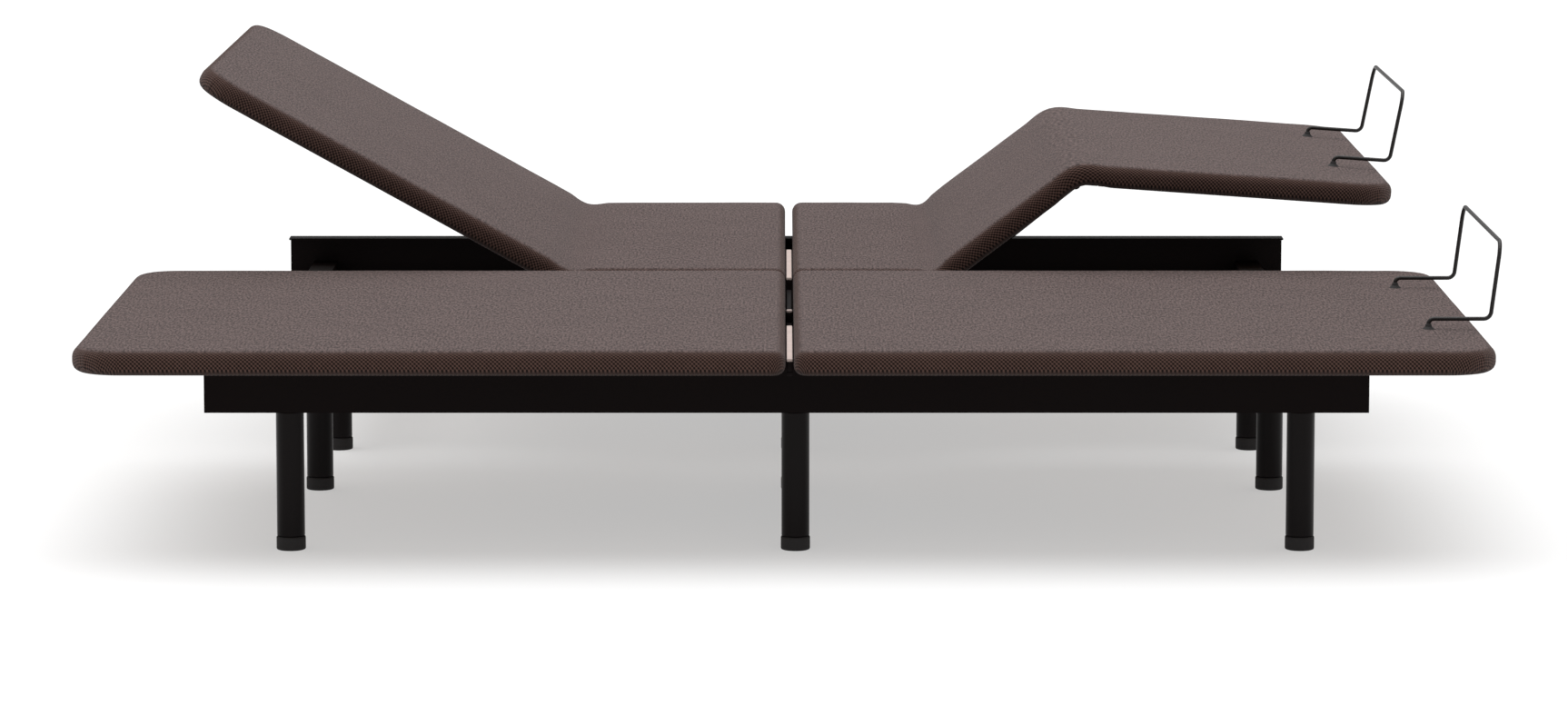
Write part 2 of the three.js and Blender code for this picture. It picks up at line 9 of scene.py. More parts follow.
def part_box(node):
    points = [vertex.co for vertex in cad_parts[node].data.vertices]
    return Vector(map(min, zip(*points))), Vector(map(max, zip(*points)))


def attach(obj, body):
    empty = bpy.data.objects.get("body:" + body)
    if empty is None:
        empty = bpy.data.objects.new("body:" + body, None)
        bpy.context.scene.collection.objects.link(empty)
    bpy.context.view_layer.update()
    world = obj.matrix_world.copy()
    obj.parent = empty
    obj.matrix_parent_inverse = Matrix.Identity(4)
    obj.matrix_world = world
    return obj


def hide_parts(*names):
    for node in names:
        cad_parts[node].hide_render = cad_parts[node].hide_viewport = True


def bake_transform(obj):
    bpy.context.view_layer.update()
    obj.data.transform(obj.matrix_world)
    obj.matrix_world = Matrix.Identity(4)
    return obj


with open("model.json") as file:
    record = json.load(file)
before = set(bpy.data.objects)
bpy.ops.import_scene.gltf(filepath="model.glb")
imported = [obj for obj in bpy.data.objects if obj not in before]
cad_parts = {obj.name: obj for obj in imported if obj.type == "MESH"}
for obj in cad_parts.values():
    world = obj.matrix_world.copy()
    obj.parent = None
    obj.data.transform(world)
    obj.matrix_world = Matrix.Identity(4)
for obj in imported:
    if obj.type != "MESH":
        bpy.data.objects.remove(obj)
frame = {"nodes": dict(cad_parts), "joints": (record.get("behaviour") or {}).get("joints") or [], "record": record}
joints = {joint["name"]: joint for joint in frame["joints"]}
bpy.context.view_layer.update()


# Shader maths

class Sock:
    def __init__(self, tree, socket):
        self.tree = tree
        self.socket = socket

    def math(self, operation, *others, clamp=False):
        node = self.tree.nodes.new("ShaderNodeMath")
        node.operation = operation
        node.use_clamp = clamp
        for index, value in enumerate((self, *others)):
            if isinstance(value, Sock):
                self.tree.links.new(value.socket, node.inputs[index])
            else:
                node.inputs[index].default_value = value
        return Sock(self.tree, node.outputs[0])

    def __add__(self, other):
        return self.math("ADD", other)

    def __sub__(self, other):
        return self.math("SUBTRACT", other)

    def __mul__(self, other):
        return self.math("MULTIPLY", other)

    def __radd__(self, other):
        return self + other

    def __rmul__(self, other):
        return self * other

    def __rsub__(self, other):
        return self * -1.0 + other

    def clamped(self):
        return self.math("ADD", 0.0, clamp=True)


class Shader:
    def __init__(self, name):
        self.material = bpy.data.materials.new(name)
        self.material.use_nodes = True
        self.tree = self.material.node_tree
        self.surface = self.tree.nodes["Principled BSDF"]

    def node(self, kind, settings=None, **inputs):
        made = self.tree.nodes.new(kind)
        for key, value in (settings or {}).items():
            setattr(made, key, value)
        for key, value in inputs.items():
            self.feed(made.inputs[key.replace("_", " ")], value)
        return made

    def feed(self, socket, value):
        if isinstance(value, Sock):
            self.tree.links.new(value.socket, socket)
        elif hasattr(value, "is_output"):
            self.tree.links.new(value, socket)
        else:
            socket.default_value = value

    def out(self, node, output=0):
        return Sock(self.tree, node.outputs[output])

    def point(self):
        return self.tree.nodes.new("ShaderNodeTexCoord").outputs["Object"]

    def noise(self, scale, detail=3.0, vector=None):
        made = self.node("ShaderNodeTexNoise", None, Scale=scale, Detail=detail,
                         Vector=vector or self.point())
        return self.out(made)

    def ramp(self, factor, low, high):
        made = self.node("ShaderNodeMix", {"data_type": "RGBA"})
        self.feed(made.inputs[0], factor)
        for index, colour in ((6, low), (7, high)):
            self.feed(made.inputs[index], (*colour, 1) if isinstance(colour, tuple) else colour)
        return made.outputs[2]

    def bump(self, height, distance, strength=1.0):
        made = self.node("ShaderNodeBump", None, Strength=strength, Distance=distance, Height=height)
        self.feed(self.surface.inputs["Normal"], made.outputs[0])

    def set(self, **values):
        for key, value in values.items():
            self.feed(self.surface.inputs[key.replace("_", " ")], value)


# The weave runs in the panel's own flat coordinates, stored on its points, so it follows the folds.
# Its third coordinate goes from 0 on top to 1 on the side band, and on to 2 underneath, and picks painted shade:
# the side band and the underside get darker copies of the top's cloth colours.
weavePitch = 0.0060


def fabricShader():
    s = Shader("woven cover")
    flat = s.node("ShaderNodeAttribute", {"attribute_name": "weave"})
    parts = s.node("ShaderNodeSeparateXYZ", None, Vector=flat.outputs["Vector"])
    across, along, shadeBand = (s.out(parts, index) for index in range(3))
    turn = 2 * math.pi / weavePitch
    checks = (across * turn).math("COSINE") * (along * turn).math("COSINE")
    rise = ((across + along) * turn).math("COSINE")
    threads = checks * 0.46 + rise * 0.06 + 0.5
    fuzz = s.noise(1100.0, 2.0, flat.outputs["Vector"])
    drawn = s.node("ShaderNodeMapping", None, Vector=flat.outputs["Vector"], Scale=(330.0, 75.0, 1.0))
    slub = s.noise(1.0, 2.0, drawn.outputs[0])
    patches = s.noise(9.0, 4.0, flat.outputs["Vector"])
    # Painted shade: the top gets the lit cloth colours, and the side band and underside get darker shaded copies
    # of them.
    litTopTone = (threads * 0.35 + fuzz * 0.2 + slub * 3.3 + patches * 0.3 - 1.575).clamped()
    shadedTone = (threads * 1.6 + fuzz * 0.3 + slub * 0.4 + patches * 0.2 - 0.8).clamped()
    top = s.ramp(litTopTone, (0.0279, 0.0195, 0.0186), (0.1074, 0.0762, 0.072))
    side = s.ramp(shadedTone, (0.006, 0.0028, 0.0022), (0.090, 0.051, 0.041))
    shadedUnder = s.ramp(shadedTone, (0.005, 0.0024, 0.002), (0.045, 0.026, 0.021))
    shadedBelowTop = s.ramp((shadeBand - 1.0).clamped(), side, shadedUnder)
    s.set(Base_Color=s.ramp(shadeBand.clamped(), top, shadedBelowTop), Roughness=0.94, Sheen_Weight=0.12,
          Sheen_Roughness=0.42, Sheen_Tint=(0.9, 0.82, 0.81, 1), Specular_IOR_Level=0.1)
    relief = shadeBand.clamped() * 0.6 + 0.25
    s.bump(threads * relief + fuzz * 0.3 + slub * 0.3, 0.0011, 0.9)
    return s.material


def paintShader(name, colour, roughness, gloss):
    s = Shader(name)
    wear = s.noise(7.0, 4.0)
    dark = tuple(0.8 * c for c in colour)
    s.set(Base_Color=s.ramp(wear, dark, colour), Roughness=wear * 0.1 + (roughness - 0.05),
          Specular_IOR_Level=gloss)
    s.bump(s.noise(420.0, 2.0), 0.0001, 0.1)
    return s.material


def steelShader():
    s = Shader("ground steel")
    stretched = s.node("ShaderNodeMapping", None, Vector=s.point(), Scale=(3.0, 300.0, 300.0))
    lines = s.noise(9.0, 5.0, stretched.outputs[0])
    s.set(Base_Color=s.ramp(lines, (0.34, 0.345, 0.35), (0.62, 0.62, 0.61)), Metallic=1.0,
          Roughness=lines * 0.16 + 0.2)
    s.bump(lines, 0.0001, 0.1)
    return s.material


def boardShader():
    s = Shader("plywood")
    stretched = s.node("ShaderNodeMapping", None, Vector=s.point(), Scale=(1.4, 22.0, 22.0))
    grain = s.noise(6.0, 6.0, stretched.outputs[0])
    pores = s.noise(240.0, 2.0)
    tone = (grain * 0.9 + pores * 0.2 - 0.1).clamped()
    s.set(Base_Color=s.ramp(tone, (0.16, 0.088, 0.042), (0.46, 0.30, 0.17)), Roughness=pores * 0.15 + 0.62)
    s.bump(grain * 0.6 + pores * 0.4, 0.0004, 0.25)
    return s.material


def plasticShader(name, colour, roughness):
    s = Shader(name)
    spark = s.noise(1500.0, 2.0)
    cloud = s.noise(30.0, 3.0)
    light = tuple(1.35 * c for c in colour)
    s.set(Base_Color=s.ramp(cloud, colour, light), Roughness=cloud * 0.1 + (roughness - 0.05))
    s.bump(spark, 0.0003, 0.35)
    return s.material


cover = fabricShader()
framePaint = paintShader("frame paint", (0.0042, 0.0022, 0.0021), 0.55, 0.06)
legPaint = paintShader("leg paint", (0.0046, 0.0028, 0.0028), 0.36, 0.1)
barPaint = paintShader("bar paint", (0.007, 0.0048, 0.0042), 0.42, 0.3)
steel = steelShader()
plywood = boardShader()
housing = plasticShader("housing plastic", (0.012, 0.012, 0.013), 0.5)
rubber = plasticShader("rubber", (0.006, 0.0045, 0.0045), 0.8)
# Painted light: a pale finish for the strips in the gap, not the colour of a known part.
gapLightPaint = plasticShader("pale felt", (0.36, 0.29, 0.265), 0.9)
slots = {"fabric": cover, "board": plywood, "frame": framePaint, "leg": legPaint,
         "housing": housing, "rod": steel, "bar": barPaint}


def boxOf(node):
    low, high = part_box(node)
    return Vector(low), Vector(high)


# Sizes of one half lying flat, read from the right half
backLow, backHigh = boxOf("right_back_pad")
seatHigh = boxOf("right_head_seat_pad")[1]
footSeatLow = boxOf("right_foot_seat_pad")[0]
calfHigh = boxOf("right_calf_pad")[1]
boardLow, boardHigh = boxOf("right_back_deck")
halfSpan = (backHigh.y - backLow.y) / 2
padTop = backHigh.z
padBottom = backLow.z
hingeZ = joints["right_back_hinge"]["pos_m"][2]
hingeX = {name: joints[f"right_{name}_hinge"]["pos_m"][0] for name in ("back", "thigh", "knee")}
boardInset = boardLow.x - backLow.x
splitX = (hingeX["thigh"] + hingeX["knee"]) / 2


class Half:
    def __init__(self, label):
        low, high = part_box(f"{label}_head_seat_pad")
        self.label = label
        self.centre = (low[1] + high[1]) / 2
        self.back = -math.radians(joints[f"{label}_back_hinge"]["range_deg"][0])
        self.thigh = -math.radians(joints[f"{label}_thigh_hinge"]["range_deg"][0])
        couplings = frame["record"]["behaviour"]["couplings"]
        knee = next(c for c in couplings if c["joint"] == f"{label}_knee_hinge")
        self.knee = knee["ratio"] * self.thigh

    def name(self, piece):
        return f"{self.label}_{piece}"

    def section(self, body):
        whole = Matrix.Identity(4)
        if body == "back":
            whole = about(hingeX["back"], self.back)
        if body in ("thigh", "calf"):
            whole = about(hingeX["thigh"], -self.thigh)
        if body == "calf":
            whole = whole @ about(hingeX["knee"], self.knee)
        return Matrix.Translation((0, self.centre, 0)) @ whole


# A turn about a hinge line across the bed
def about(x, angle):
    pivot = Matrix.Translation((x, 0, hingeZ))
    return pivot @ Matrix.Rotation(angle, 4, "Y") @ pivot.inverted()


halves = [Half("right"), Half("left")]


# Gives every CAD node the finish of its slot. On a deck, all that lies below the board is painted steel.
def paintNodes():
    finish = {part["node"]: part["material_slot"] for part in frame["record"]["subparts"]}
    for name, node in frame["nodes"].items():
        mesh = node.data
        mesh.materials.clear()
        mesh.materials.append(slots[finish[name]])
        mesh.polygons.foreach_set("use_smooth", [True] * len(mesh.polygons))
        mesh.set_sharp_from_angle(angle=math.radians(35))
    for half in halves:
        for section in ("back", "thigh", "calf", "head_seat", "foot_seat"):
            mesh = frame["nodes"][half.name(f"{section}_deck")].data
            mesh.materials.append(framePaint)
            toFlat = half.section(section).inverted()
            for face in mesh.polygons:
                if (toFlat @ face.center).z < padBottom - 0.0001:
                    face.material_index = 1


def finishMesh(bm, name, material, sharp=38.0):
    bmesh.ops.recalc_face_normals(bm, faces=bm.faces)
    mesh = bpy.data.meshes.new(name)
    bm.to_mesh(mesh)
    bm.free()
    mesh.polygons.foreach_set("use_smooth", [True] * len(mesh.polygons))
    mesh.set_sharp_from_angle(angle=math.radians(sharp))
    piece = bpy.data.objects.new(name, mesh)
    bpy.context.scene.collection.objects.link(piece)
    mesh.materials.append(material)
    return piece


# Upholstered panels

panel = {
    "edge": 0.0155, "underEdge": 0.0135, "endCorner": 0.072, "gapCorner": 0.018,
    "pitch": 0.0235, "zonePitch": 0.006, "backZone": 0.074, "thighZone": 0.060, "kneeZone": 0.096,
    "zoneReach": 0.62, "foldRounds": 24, "pocketRise": 0.003, "pocketChamfer": 0.026, "wrapLip": 0.0006,
}


def slabBody(x0, x1, headCorner, footCorner, headOpen, footOpen):
    bm = bmesh.new()
    bmesh.ops.create_cube(bm, size=1.0)
    bmesh.ops.scale(bm, vec=(x1 - x0, 2 * halfSpan, padTop - padBottom), verts=bm.verts)
    bmesh.ops.translate(bm, vec=((x0 + x1) / 2, 0, (padTop + padBottom) / 2), verts=bm.verts)

    def roundEdges(edges, offset, segments):
        bmesh.ops.bevel(bm, geom=edges, offset=offset, offset_type="OFFSET", segments=segments,
                        profile=0.5, affect="EDGES", material=-1, clamp_overlap=False)

    for x, radius, isOpen in ((x0, headCorner, headOpen), (x1, footCorner, footOpen)):
        if not isOpen:
            upright = [e for e in bm.edges
                       if all(abs(v.co.x - x) < 1e-5 for v in e.verts)
                       and abs(e.verts[0].co.z - e.verts[1].co.z) > 0.01]
            roundEdges(upright, radius, 12 if radius > 0.03 else 7)
    for level, offset, segments in ((padTop, panel["edge"], 7), (padBottom, panel["underEdge"], 5)):
        rim = [e for e in bm.edges
               if all(abs(v.co.z - level) < 1e-5 for v in e.verts)
               and not (headOpen and all(abs(v.co.x - x0) < 1e-5 for v in e.verts))
               and not (footOpen and all(abs(v.co.x - x1) < 1e-5 for v in e.verts))]
        roundEdges(rim, offset, segments)
    return bm


def cutAt(bm, places, axis):
    normal = Vector((0, 0, 0))
    normal[axis] = 1
    for place in places:
        at = Vector((0, 0, 0))
        at[axis] = place
        bmesh.ops.bisect_plane(bm, geom=bm.verts[:] + bm.edges[:] + bm.faces[:], dist=1e-6,
                               plane_co=at, plane_no=normal)


def spaced(low, high, pitch):
    count = max(1, round((high - low) / pitch))
    return [low + (high - low) * i / count for i in range(1, count)]


# Lets a section's board into the underside: a recess with cut-off corners at a round end.
def pocket(bm, x0, x1, chamferHead, chamferFoot):
    y = halfSpan - boardInset + panel["wrapLip"]
    cut = panel["pocketChamfer"]
    corners = []
    for x, inward, wanted in ((x0, 1, chamferHead), (x1, -1, chamferFoot)):
        for side in (-1, 1):
            if wanted:
                at = Vector((x + inward * cut / 2, side * (y - cut / 2), 0))
                normal = Vector((-inward, side, 0)).normalized()
                near = [f for f in bm.faces if (f.calc_center_median() - at).xy.length < 0.09]
                parts = {g for f in near for g in (f, *f.edges, *f.verts)}
                bmesh.ops.bisect_plane(bm, geom=list(parts), dist=1e-6, plane_co=at, plane_no=normal)
                corners.append((at, normal))
    inside = []
    for face in bm.faces:
        middle = face.calc_center_median()
        if face.normal.z > -0.9 or middle.z > padBottom + 1e-4:
            continue
        if x0 < middle.x < x1 and abs(middle.y) < y and all((middle - at).dot(n) < 0 for at, n in corners):
            inside.append(face)
    made = bmesh.ops.extrude_face_region(bm, geom=inside)
    rise = boardHigh.z - padBottom + panel["pocketRise"]
    lifted = [part for part in made["geom"] if isinstance(part, bmesh.types.BMVert)]
    bmesh.ops.translate(bm, vec=(0, 0, rise), verts=lifted)
    bmesh.ops.delete(bm, geom=inside, context="FACES")


def smoothStep(t):
    t = min(1.0, max(0.0, t))
    return t * t * (3 - 2 * t)


# Soft unevenness of foam under a taut cover: a slight crown, slow waves, and small puckers at the corners.
# The underside is let in along the hinge line, so that it has room to fold.
softness = {"crown": 0.0011, "crownReach": 0.12, "slow": 0.0006, "slowScale": 3.1, "quick": 0.0003,
            "quickScale": 17.0, "groove": 0.009, "grooveReach": 0.024, "grooveEnd": 0.01,
            "pucker": 0.0005, "puckerWaves": 34, "puckerInner": 0.72, "puckerDrop": 0.008,
            "roundCorner": 0.03}


def soften(bm, x0, x1, hinge, headCorner, footCorner):
    for vert in bm.verts:
        co = vert.co
        if co.z <= padBottom + 0.004 and abs(vert.normal.z) > 0.5:
            near = max(0.0, 1 - abs(co.x - hinge) / softness["grooveReach"])
            inward = smoothStep((halfSpan - boardInset - abs(co.y)) / softness["grooveEnd"])
            co.z += softness["groove"] * smoothStep(near) * inward
            continue
        if co.z < padBottom + 0.001:
            continue
        share = smoothStep((co.z - padBottom) / (padTop - padBottom))
        slow = noise.noise(Vector((*(co.xy * softness["slowScale"]), 4.0 * headCorner)))
        quick = noise.noise(Vector((*(co.xy * softness["quickScale"]), 2.0 + hinge)))
        edge = min(halfSpan - abs(co.y), co.x - x0 if headCorner else 1, x1 - co.x if footCorner else 1)
        crown = softness["crown"] * smoothStep(edge / softness["crownReach"])
        co.z += share * (crown + softness["slow"] * slow + softness["quick"] * quick)
        for x, inward, radius in ((x0, 1, headCorner), (x1, -1, footCorner)):
            if radius < softness["roundCorner"]:
                continue
            middle = Vector((x + inward * radius, math.copysign(halfSpan - radius, co.y)))
            away = co.xy - middle
            inner = softness["puckerInner"]
            if away.x * inward > 0 or away.y * co.y < 0 or away.length < radius * inner:
                continue
            turn = math.atan2(abs(away.y), abs(away.x))
            pleat = math.sin(turn * softness["puckerWaves"])
            pleat *= smoothStep((away.length / radius - inner) / (1 - inner))
            pleat *= math.sin(2 * turn) * smoothStep((padTop - co.z) / softness["puckerDrop"])
            co.x += softness["pucker"] * pleat * away.x / away.length
            co.y += softness["pucker"] * pleat * away.y / away.length


# Weave coordinates: plan position on top, carried on outwards by the height below the top on the side band. The
# third value is the painted-shade band: 0 on top, 1 on the side, 2 underneath.
def storeWeaveAndShadeBand(piece, flatPoints, flatNormals):
    values = piece.data.attributes.new("weave", "FLOAT_VECTOR", "POINT")
    for index, (point, normal) in enumerate(zip(flatPoints, flatNormals)):
        outward = normal.xy.normalized() if normal.xy.length > 0.06 else Vector((0, 0))
        spread = point.xy + outward * (padTop - point.z)
        shadeBand = 2 - smoothStep((normal.z - 0.8) / 0.16) - smoothStep((normal.z + 0.75) / 0.5)
        values.data[index].vector = (spread.x, spread.y, shadeBand)


# Bends a flat panel into the half's rest shape, so that flattening it again gives the flat panel back.
def foldPiece(points, base, hinge, angle, zone, movesAfter):
    middle = Vector((hinge, 0, hingeZ))
    along = Matrix.Rotation(angle / 2, 3, "Y") @ Vector((1, 0, 0))
    start = middle - along * zone / 2
    folded = []
    for flat in points:
        spot = flat.copy()
        for _ in range(panel["foldRounds"] if angle else 1):
            weight = smoothStep((spot - start).dot(along) / zone)
            share = weight if movesAfter else 1 - weight
            spot = about(hinge, angle * share) @ flat
        folded.append(base @ spot)
    return folded, base @ start, base @ (start + along * zone)


def makePanel(half, name, form):
    bm = slabBody(form["from"], form["to"], form["headCorner"], form["footCorner"],
                  form["headOpen"], form["footOpen"])
    reach = form["zone"] * panel["zoneReach"]
    zoneLow, zoneHigh = form["hinge"] - reach, form["hinge"] + reach
    places = spaced(form["from"], zoneLow, panel["pitch"]) + spaced(zoneLow, zoneHigh, panel["zonePitch"])
    places += spaced(zoneHigh, form["to"], panel["pitch"]) + [zoneLow, zoneHigh]
    for x0, x1, _, _ in form["boards"]:
        places += [x for x in (x0, x1) if form["from"] < x < form["to"]]
    cutAt(bm, places, 0)
    lip = halfSpan - boardInset + panel["wrapLip"]
    cutAt(bm, spaced(-lip, lip, panel["pitch"]) + [-lip, lip], 1)
    for x0, x1, chamferHead, chamferFoot in form["boards"]:
        pocket(bm, x0, x1, chamferHead, chamferFoot)
    bm.normal_update()
    soften(bm, form["from"], form["to"], form["hinge"], form["headCorner"], form["footCorner"])
    bmesh.ops.recalc_face_normals(bm, faces=bm.faces)
    bm.normal_update()
    flatPoints = [v.co.copy() for v in bm.verts]
    flatNormals = [v.normal.copy() for v in bm.verts]
    for point, normal in zip(flatPoints, flatNormals):
        if abs(point.x - splitX) < 1e-4:
            normal.x = 0
            normal.normalize()
    base = half.section(form["base"])
    folded, start, end = foldPiece(flatPoints, base, form["hinge"], form["angle"], form["zone"],
                                   form["movesAfter"])
    for vert, spot in zip(bm.verts, folded):
        vert.co = spot
    piece = finishMesh(bm, half.name(name), cover)
    storeWeaveAndShadeBand(piece, flatPoints, flatNormals)
    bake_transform(piece)
    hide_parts(*[half.name(node) for node in form["nodes"]])
    return piece


def panelForms(half):
    inset = boardInset - panel["wrapLip"]
    back = (backLow.x + inset, hingeX["back"] - inset, True, False)
    headSeat = (hingeX["back"] + inset, seatHigh.x - inset, False, False)
    footSeat = (footSeatLow.x + inset, hingeX["thigh"] - inset, False, False)
    thighFirst = (hingeX["thigh"] + inset, splitX + 1, False, False)
    thighRest = (splitX - 1, hingeX["knee"] - inset, False, False)
    calf = (hingeX["knee"] + inset, calfHigh.x - inset, False, True)
    shared = {"headOpen": False, "footOpen": False}
    return {
        "head_panel": {**shared, "from": backLow.x, "to": seatHigh.x, "boards": [back, headSeat],
                       "headCorner": panel["endCorner"], "footCorner": panel["gapCorner"],
                       "hinge": hingeX["back"], "zone": panel["backZone"], "angle": half.back,
                       "movesAfter": False, "base": "frame", "bodies": (half.name("back"), "frame"),
                       "nodes": ["back_pad", "head_seat_pad"]},
        "foot_panel": {**shared, "from": footSeatLow.x, "to": splitX, "boards": [footSeat, thighFirst],
                       "headCorner": panel["gapCorner"], "footCorner": 0, "footOpen": True,
                       "hinge": hingeX["thigh"], "zone": panel["thighZone"], "angle": -half.thigh,
                       "movesAfter": True, "base": "frame", "bodies": ("frame", half.name("thigh")),
                       "nodes": ["foot_seat_pad", "thigh_pad"]},
        "knee_panel": {**shared, "from": splitX, "to": calfHigh.x, "boards": [thighRest, calf],
                       "headCorner": 0, "footCorner": panel["endCorner"], "headOpen": True,
                       "hinge": hingeX["knee"], "zone": panel["kneeZone"], "angle": half.knee,
                       "movesAfter": True, "base": "thigh", "bodies": (half.name("thigh"), half.name("calf")),
                       "nodes": ["calf_pad"]},
    }


# Round pieces, swept along a row of stations: a centre, a direction and a radius each

def sweep(stations, sides, side):
    bm = bmesh.new()
    bmesh.ops.create_circle(bm, cap_ends=True, segments=sides, radius=1.0)
    bm.faces.ensure_lookup_table()
    face = bm.faces[0]
    before = Matrix.Identity(4)
    for index, (centre, tangent, radius) in enumerate(stations):
        side = (side - tangent * side.dot(tangent)).normalized()
        turn = Matrix((side, tangent.cross(side), tangent)).transposed().to_4x4()
        here = Matrix.Translation(centre) @ turn @ Matrix.Scale(radius, 4)
        if index:
            grown = bmesh.ops.extrude_face_region(bm, geom=[face])["geom"]
            face = next(part for part in grown if isinstance(part, bmesh.types.BMFace))
        bmesh.ops.transform(bm, matrix=here @ before.inverted(), verts=face.verts[:])
        before = here
    return bm


# A turned shape along one direction, from (distance, radius) pairs
def turnedShape(origin, direction, outline, sides=40):
    across = Vector((0, 0, 1)) if abs(direction.z) < 0.5 else Vector((1, 0, 0))
    return sweep([(origin + direction * away, direction, radius) for away, radius in outline], sides, across)


upward = Vector((0, 0, 1))


bar = {"radius": 0.0031, "sides": 20, "steps": 8, "bends": (0.008, 0.011, 0.024),
       "rise": 0.016, "lean": 0.014,
       "collar": ((-0.001, 0.0094), (0.0007, 0.0094), (0.0022, 0.0078), (0.0048, 0.0052), (0.0082, 0.0042),
                  (0.0088, 0.0035))}


# Points along a bent bar, with the direction at each; corners are true arcs.
def bentPath(corners, bends):
    path = []
    for index, corner in enumerate(corners):
        if index in (0, len(corners) - 1):
            other = corners[1] if index == 0 else corners[-2]
            direction = (other - corner) if index == 0 else (corner - other)
            path.append((corner, direction.normalized()))
            continue
        into = (corner - corners[index - 1]).normalized()
        out = (corners[index + 1] - corner).normalized()
        turn = into.angle(out)
        radius = bends[index - 1]
        start = corner - into * radius * math.tan(turn / 2)
        middle = start + (out - into * out.dot(into)).normalized() * radius
        axis = into.cross(out).normalized()
        for step in range(bar["steps"] + 1):
            swing = Matrix.Rotation(turn * step / bar["steps"], 3, axis)
            path.append((middle + swing @ (start - middle), swing @ into))
    return path


def makeRetainer(half):
    low, high = boxOf("right_retainer_bar")
    radius = bar["radius"]
    span = (high.y - low.y) / 2 - radius
    foot = low.z + 0.001
    step = padTop + bar["rise"]
    socketX = low.x + radius
    topX = high.x - radius
    post = topX - bar["lean"]

    def side(y):
        return [Vector((socketX, y, foot)), Vector((socketX, y, step)),
                Vector((post, y, step)), Vector((topX, y, high.z - radius))]

    path = bentPath(side(-span) + side(span)[::-1], bar["bends"] + bar["bends"][::-1])
    bm = sweep([(point, tangent, radius) for point, tangent in path], bar["sides"], Vector((0, 1, 0)))
    bmesh.ops.transform(bm, matrix=half.section("calf"), verts=bm.verts)
    piece = finishMesh(bm, half.name("bent_retainer"), barPaint)
    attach(piece, half.name("calf"))
    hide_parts(half.name("retainer_bar"))
    for place, y in (("near", -span), ("far", span)):
        bm = turnedShape(Vector((socketX, y, padTop)), upward, bar["collar"], 28)
        bmesh.ops.transform(bm, matrix=half.section("calf"), verts=bm.verts)
        addDetail(bm, half.name(f"{place}_bar_collar"), rubber, half.name("calf"))


def addDetail(bm, name, material, body):
    piece = finishMesh(bm, name, material)
    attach(piece, body)
    return piece


# Legs: a painted tube, and a rubber foot with a groove where it meets the tube

legShape = {"foot": 0.020, "gap": 0.0008, "tubeEdge": 0.0006, "tubeInset": 0.001, "plug": 0.004,
            "footEdge": 0.0022, "sides": 56}


def makeLegs(half):
    for row in ("outer", "inner"):
        for place in ("head", "middle", "foot"):
            node = half.name(f"{row}_{place}_leg")
            low, high = boxOf(node)
            centre = Vector(((low.x + high.x) / 2, (low.y + high.y) / 2, 0))
            wide = (high.x - low.x) / 2
            tube = wide - legShape["tubeInset"]
            start = legShape["foot"] + legShape["gap"]
            edge = legShape["tubeEdge"]
            plug = legShape["plug"]
            outline = [(start - plug, tube - plug), (start, tube - plug), (start, tube - edge),
                       (start + edge, tube), (high.z - edge, tube), (high.z, tube - edge)]
            tubeMesh = turnedShape(centre, upward, outline, legShape["sides"])
            piece = finishMesh(tubeMesh, half.name(f"{row}_{place}_leg_tube"), legPaint)
            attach(piece, "frame")
            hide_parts(node)
            rounding = legShape["footEdge"]
            top = legShape["foot"]
            outline = [(0.0, wide - rounding), (rounding * 0.3, wide - rounding * 0.3), (rounding, wide),
                       (top - rounding, wide), (top - rounding * 0.3, wide - rounding * 0.3),
                       (top, wide - rounding)]
            footMesh = turnedShape(centre, upward, outline, legShape["sides"])
            addDetail(footMesh, half.name(f"{row}_{place}_leg_foot"), rubber, "frame")


# Pale strips in the gap between the head and foot panels, on risers over a dark carrier that stands on the
# rails. Runs are measured inward from the half's outer edge.

# The pale strips are painted light that brightens the view down the gap. No pale part is known there.
strip = {"drop": 0.0135, "height": 0.0045, "side": 0.0018, "edge": 0.0012, "carrierHeight": 0.006,
         "carrier": {"right": (0.025, 0.9612), "left": (0.590, 0.9612)},
         "runs": {"right": {"outer": (0.025, 0.387), "stud": (0.567, 0.574)},
                  "left": {"inner": (0.590, 0.9612)}}}


def makeGapStrip(half):
    outward = -1 if half.label == "right" else 1
    width = footSeatLow.x - seatHigh.x - 2 * strip["side"]
    middle = (seatHigh.x + footSeatLow.x) / 2

    def gapBar(run, low, high, name, material):
        start, end = run
        bm = bmesh.new()
        bmesh.ops.create_cube(bm, size=1.0)
        bmesh.ops.scale(bm, vec=(width, end - start, high - low), verts=bm.verts)
        place = (middle, half.centre + outward * (halfSpan - (start + end) / 2), (low + high) / 2)
        bmesh.ops.translate(bm, vec=place, verts=bm.verts)
        bmesh.ops.bevel(bm, geom=bm.edges[:], offset=strip["edge"], offset_type="OFFSET", segments=3,
                        profile=0.5, affect="EDGES", material=-1)
        addDetail(bm, half.name(name), material, "frame")

    seat = padTop - strip["drop"] - strip["height"]
    railTop = boxOf(half.name("outer_rail"))[1].z
    carrierTop = railTop + strip["carrierHeight"]
    gapBar(strip["carrier"][half.label], railTop, carrierTop, "gap_carrier", framePaint)
    for name, run in strip["runs"][half.label].items():
        gapBar(run, carrierTop, seat, f"{name}_gap_riser", framePaint)
        gapBar(run, seat, seat + strip["height"], f"{name}_gap_strip", gapLightPaint)


# Heads of the hinge pins

pinHead = {"offset": 0.2306, "sides": 24,
           "outline": ((0.0, 0.0066), (0.0012, 0.0066), (0.0021, 0.0055), (0.0025, 0.0035)),
           "hinges": (("back", "frame"), ("thigh", "frame"), ("knee", "thigh"))}


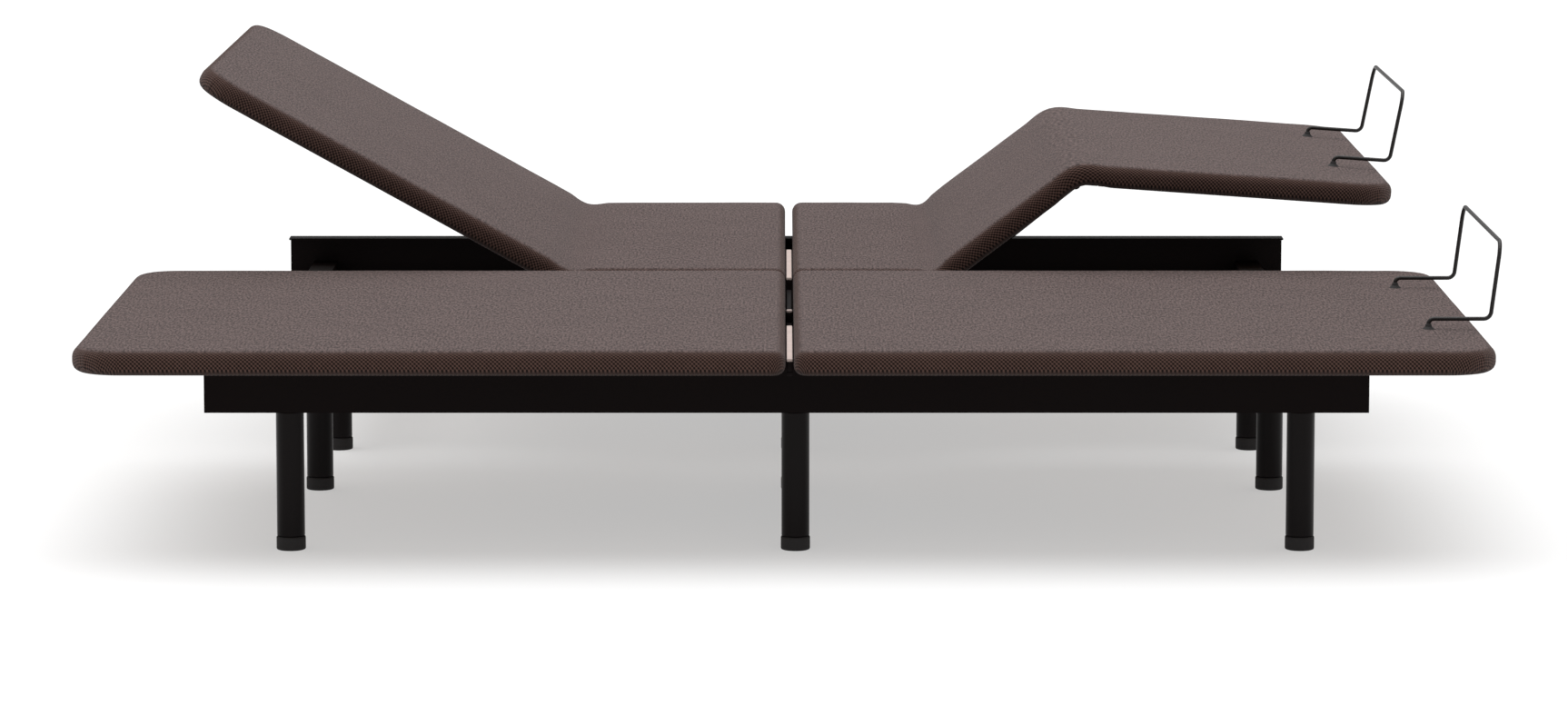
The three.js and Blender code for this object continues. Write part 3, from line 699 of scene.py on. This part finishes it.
def makePinHeads(half):
    for hinge, section in pinHead["hinges"]:
        for side, label in ((-1, "near"), (1, "far")):
            origin = Vector((hingeX[hinge], side * pinHead["offset"], hingeZ))
            bm = turnedShape(origin, Vector((0, side, 0)), pinHead["outline"], pinHead["sides"])
            bmesh.ops.transform(bm, matrix=half.section(section), verts=bm.verts)
            addDetail(bm, half.name(f"{label}_{hinge}_pin_head"), steel,
                      section if section == "frame" else half.name(section))


# End caps of the motors, with three screws each

motorCap = {"fromCross": 0.045,
            "outline": ((-0.001, 0.0302), (0.0, 0.0302), (0.0006, 0.0302), (0.003, 0.0285), (0.0045, 0.024),
                        (0.005, 0.016)),
            "screws": 3, "firstScrew": 30, "screwRing": 0.0225, "screwSides": 20,
            "screw": ((0.0, 0.0034), (0.0054, 0.0034), (0.0062, 0.0026))}


def makeMotorCaps(half):
    for place in ("head", "foot"):
        low, high = boxOf(half.name(f"{place}_drive"))
        x = high.x - motorCap["fromCross"] if place == "head" else low.x + motorCap["fromCross"]
        origin = Vector((x, high.y, (low.z + high.z) / 2))
        outward = Vector((0, 1, 0))
        capMesh = turnedShape(origin, outward, motorCap["outline"])
        addDetail(capMesh, half.name(f"{place}_motor_cap"), housing, "frame")
        for index in range(motorCap["screws"]):
            angle = math.radians(motorCap["firstScrew"] + 360 / motorCap["screws"] * index)
            spot = origin + Vector((math.cos(angle), 0, math.sin(angle))) * motorCap["screwRing"]
            screwMesh = turnedShape(spot, outward, motorCap["screw"], motorCap["screwSides"])
            addDetail(screwMesh, half.name(f"{place}_motor_screw_{index + 1}"), steel, "frame")


# Camera, floor and lights

camera = {"place": (-0.014, -9.4432, 1.4684), "pitch": 7.746, "lens": 138.8}


def makeStage():
    bm = bmesh.new()
    bmesh.ops.create_grid(bm, x_segments=1, y_segments=1, size=60.0)
    floor = finishMesh(bm, "floor", floorShader())
    data = bpy.data.cameras.new("camera")
    data.lens = camera["lens"]
    data.sensor_width = 36.0
    data.clip_end = 200.0
    eye = bpy.data.objects.new("camera", data)
    eye.location = camera["place"]
    eye.rotation_euler = (math.radians(90 - camera["pitch"]), 0, 0)
    bpy.context.scene.collection.objects.link(eye)
    bpy.context.scene.camera = eye


def floorShader():
    s = Shader("studio floor")
    s.set(Base_Color=(0.41, 0.41, 0.41, 1), Roughness=1.0, Specular_IOR_Level=0.0,
          Emission_Color=(1, 1, 1, 1), Emission_Strength=0.46)
    return s.material


overhead = {"energy": 3.5, "angle": 80.0, "turn": (-7.0, -5.0, 0.0)}
surroundings = 0.62


def makeLights():
    data = bpy.data.lights.new("overhead", "SUN")
    data.energy = overhead["energy"]
    data.angle = math.radians(overhead["angle"])
    lamp = bpy.data.objects.new("overhead", data)
    lamp.rotation_euler = [math.radians(turn) for turn in overhead["turn"]]
    bpy.context.scene.collection.objects.link(lamp)
    world = bpy.data.worlds.new("studio")
    world.use_nodes = True
    world.node_tree.nodes["Background"].inputs["Color"].default_value = (1, 1, 1, 1)
    world.node_tree.nodes["Background"].inputs["Strength"].default_value = surroundings
    bpy.context.scene.world = world
    bpy.context.scene.view_settings.view_transform = "Standard"


paintNodes()
print("finishes done")
for half in halves:
    for name, form in panelForms(half).items():
        makePanel(half, name, form)
    makeRetainer(half)
    print("panels and bar done", half.label)
    makeLegs(half)
    makeGapStrip(half)
    makePinHeads(half)
    makeMotorCaps(half)
    print("legs and details done", half.label)
makeStage()
makeLights()
